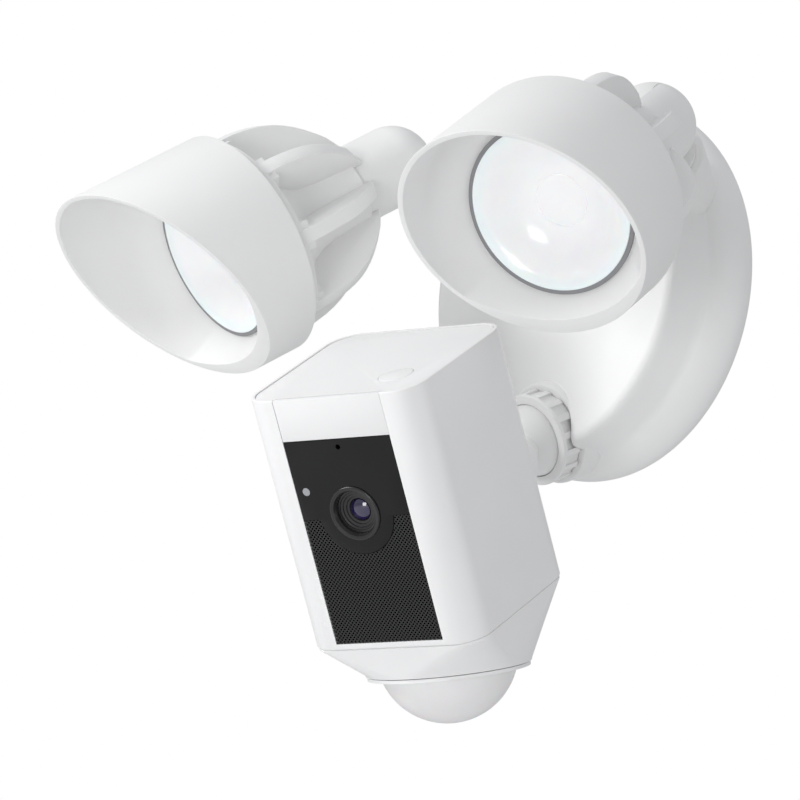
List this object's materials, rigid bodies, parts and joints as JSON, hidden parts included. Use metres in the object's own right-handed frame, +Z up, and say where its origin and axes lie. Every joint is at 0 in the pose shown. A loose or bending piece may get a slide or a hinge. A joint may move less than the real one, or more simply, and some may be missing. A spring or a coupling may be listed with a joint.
{
  "type": "floodlight security camera",
  "caption": "Wall-mounted floodlight security camera: round base with adjustable visored lamp heads on knuckle arms and a camera module with a motion sensor dome on a ball joint.",
  "frame": {"origin": "centre of the base's back face, on the wall, midway between the two wall box screws", "axes": "+Z up, +Y into the wall, +X to the right of a person who faces the wall; the lamps and the camera stand out towards -Y"},
  "size_m": [0.2701, 0.1806, 0.2312],
  "materials": {
    "white_body": "die-cast, with a fine textured white powder coat",
    "white_cast": "fine satin",
    "satin_white": "satin",
    "gloss_white": "gloss",
    "black_gloss": "mirror gloss",
    "black_mesh": "finely pierced, satin",
    "black_trim": "satin",
    "lens_coated": "polished, coated",
    "frosted_lens": "frosted",
    "frosted_dome": "satin, slightly translucent",
    "sensor": "polished",
    "steel": "satin",
    "reflector_metal": "bright",
    "led_board": "satin",
    "circuit_board": "satin",
    "socket_plastic": "satin",
    "seal_rubber": "matte"
  },
  "bodies": {
    "base": {"wall_bracket": "steel", "bracket_studs": "steel", "wall_gasket": "seal_rubber", "base_shell": "white_body", "back_plate": "white_cast", "back_plate_screws": "steel", "wire_grommet": "seal_rubber", "driver_board": "circuit_board", "driver_parts": "black_trim", "terminal_block": "socket_plastic", "siren": "black_trim", "cap_nuts": "steel", "ball_socket": "socket_plastic"},
    "left_arm": {"left_arm": "white_body", "left_arm_nut": "steel", "left_knuckle_screw": "steel"},
    "left_lamp": {"left_neck": "white_body", "left_heatsink": "white_body", "left_hood": "white_body", "left_lens": "frosted_lens", "left_lens_seal": "seal_rubber", "left_reflector": "reflector_metal", "left_led_board": "led_board", "left_head_screws": "steel"},
    "right_arm": {"right_arm": "white_body", "right_arm_nut": "steel", "right_knuckle_screw": "steel"},
    "right_lamp": {"right_neck": "white_body", "right_heatsink": "white_body", "right_hood": "white_body", "right_lens": "frosted_lens", "right_lens_seal": "seal_rubber", "right_reflector": "reflector_metal", "right_led_board": "led_board", "right_head_screws": "steel"},
    "locking_ring": {"locking_ring": "white_cast"},
    "ball_liner": {"ball_liner": "socket_plastic"},
    "mount_ball": {"mount_ball": "white_cast"},
    "camera": {"camera_housing": "satin_white", "top_cover": "satin_white", "name_plate": "gloss_white", "glass_panel": "black_gloss", "speaker_grille": "black_mesh", "lens_ring": "black_trim", "lens_barrel": "black_trim", "lens_glass": "lens_coated", "sensor_board": "circuit_board", "light_sensor": "sensor", "speaker": "black_trim", "main_board": "circuit_board", "board_parts": "steel", "camera_frame": "satin_white", "camera_seal": "seal_rubber", "motion_collar": "satin_white", "motion_dome": "frosted_dome", "motion_sensors": "sensor", "housing_screws": "steel", "button_switch": "black_trim"},
    "setup_button": {"setup_button": "satin_white"}
  },
  "joints": [
    {"name": "left_arm_swivel", "type": "hinge", "parent": "base", "child": "left_arm", "pos_m": [-0.069, -0.0595, 0.0435], "axis": [-0.5355, -0.7647, 0.3584], "range_deg": [-30, 30]},
    {"name": "left_lamp_tilt", "type": "hinge", "parent": "left_arm", "child": "left_lamp", "pos_m": [-0.069, -0.0595, 0.0435], "axis": [0.8351, -0.4163, 0.3596], "range_deg": [-30, 30]},
    {"name": "right_arm_swivel", "type": "hinge", "parent": "base", "child": "right_arm", "pos_m": [0.069, -0.0595, 0.0435], "axis": [0.5355, -0.7647, 0.3584], "range_deg": [-30, 30]},
    {"name": "right_lamp_tilt", "type": "hinge", "parent": "right_arm", "child": "right_lamp", "pos_m": [0.069, -0.0595, 0.0435], "axis": [0.8445, 0.4813, -0.2348], "range_deg": [-30, 8]},
    {"name": "ring_turn", "type": "hinge", "parent": "base", "child": "locking_ring", "pos_m": [0, -0.04, -0.0565], "axis": [0, -0.9063, -0.4226], "range_deg": [0, 90]},
    {"name": "camera_pan", "type": "hinge", "parent": "base", "child": "ball_liner", "pos_m": [0, -0.04, -0.0565], "axis": [0, 0, 1], "range_deg": [-30, 12]},
    {"name": "camera_tilt", "type": "hinge", "parent": "ball_liner", "child": "mount_ball", "pos_m": [0, -0.04, -0.0565], "axis": [0.9564, 0.2884, 0.0451], "range_deg": [-8, 12]},
    {"name": "camera_roll", "type": "hinge", "parent": "mount_ball", "child": "camera", "pos_m": [0, -0.04, -0.0565], "axis": [0.2708, -0.8189, -0.506], "range_deg": [-15, 15]},
    {"name": "button_press", "type": "slide", "parent": "camera", "child": "setup_button", "axis": [-0.109, 0.4962, -0.8613], "range_m": [0, 0.0006], "stiffness_N_per_m": 600}
  ]
}
